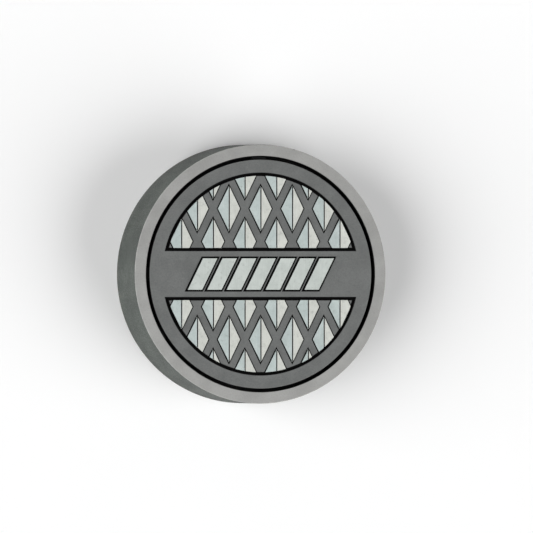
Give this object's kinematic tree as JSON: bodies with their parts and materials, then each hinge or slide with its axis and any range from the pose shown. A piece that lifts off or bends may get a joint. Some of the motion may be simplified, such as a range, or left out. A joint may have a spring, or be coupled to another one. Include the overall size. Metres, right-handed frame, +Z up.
{
  "type": "manhole cover",
  "caption": "Round vented manhole cover with two studded lattice panels and slanted tread blocks, in a deep cast frame with a hanging dirt pan.",
  "frame": {"origin": "centre of the frame's base, on the surface it stands on", "axes": "+Z up along the cover's axis, +X along the band of tread blocks, +Y towards the upper panel"},
  "size_m": [0.7349, 0.735, 0.214],
  "materials": {
    "frame_iron": "weathered grey iron",
    "cover_iron": "dark grey cast iron",
    "stud_steel": "worn bright steel",
    "joint_rubber": "black sealing compound",
    "cushion_rubber": "black rubber",
    "zinc_steel": "zinc plated",
    "pan_steel": "galvanised sheet"
  },
  "bodies": {
    "frame": {"frame_casting": "frame_iron", "seat_cushion": "cushion_rubber"},
    "dirt_pan": {"dirt_pan": "pan_steel", "handle_brackets": "pan_steel", "bracket_rivets": "zinc_steel"},
    "pan_handle": {"pan_handle": "pan_steel"},
    "cover": {"cover_casting": "cover_iron", "upper_tread_panel": "cover_iron", "lower_tread_panel": "cover_iron", "upper_panel_seal": "joint_rubber", "lower_panel_seal": "joint_rubber", "upper_studs": "stud_steel", "lower_studs": "stud_steel", "upper_stud_bedding": "joint_rubber", "lower_stud_bedding": "joint_rubber", "band_blocks": "stud_steel", "band_block_bedding": "joint_rubber", "panel_bolts": "zinc_steel", "panel_washers": "zinc_steel", "block_screws": "zinc_steel", "block_washers": "zinc_steel"}
  },
  "joints": [
    {"name": "pan_lift", "type": "slide", "parent": "frame", "child": "dirt_pan", "axis": [0, 0, 1], "range_m": [0, 0.2]},
    {"name": "cover_lift", "type": "slide", "parent": "dirt_pan", "child": "cover", "axis": [0, 0, 1], "range_m": [0, 0.3]},
    {"name": "handle_fold", "type": "hinge", "parent": "dirt_pan", "child": "pan_handle", "pos_m": [0, 0, 0.042], "axis": [1, 0, 0], "range_deg": [0, 90]}
  ]
}
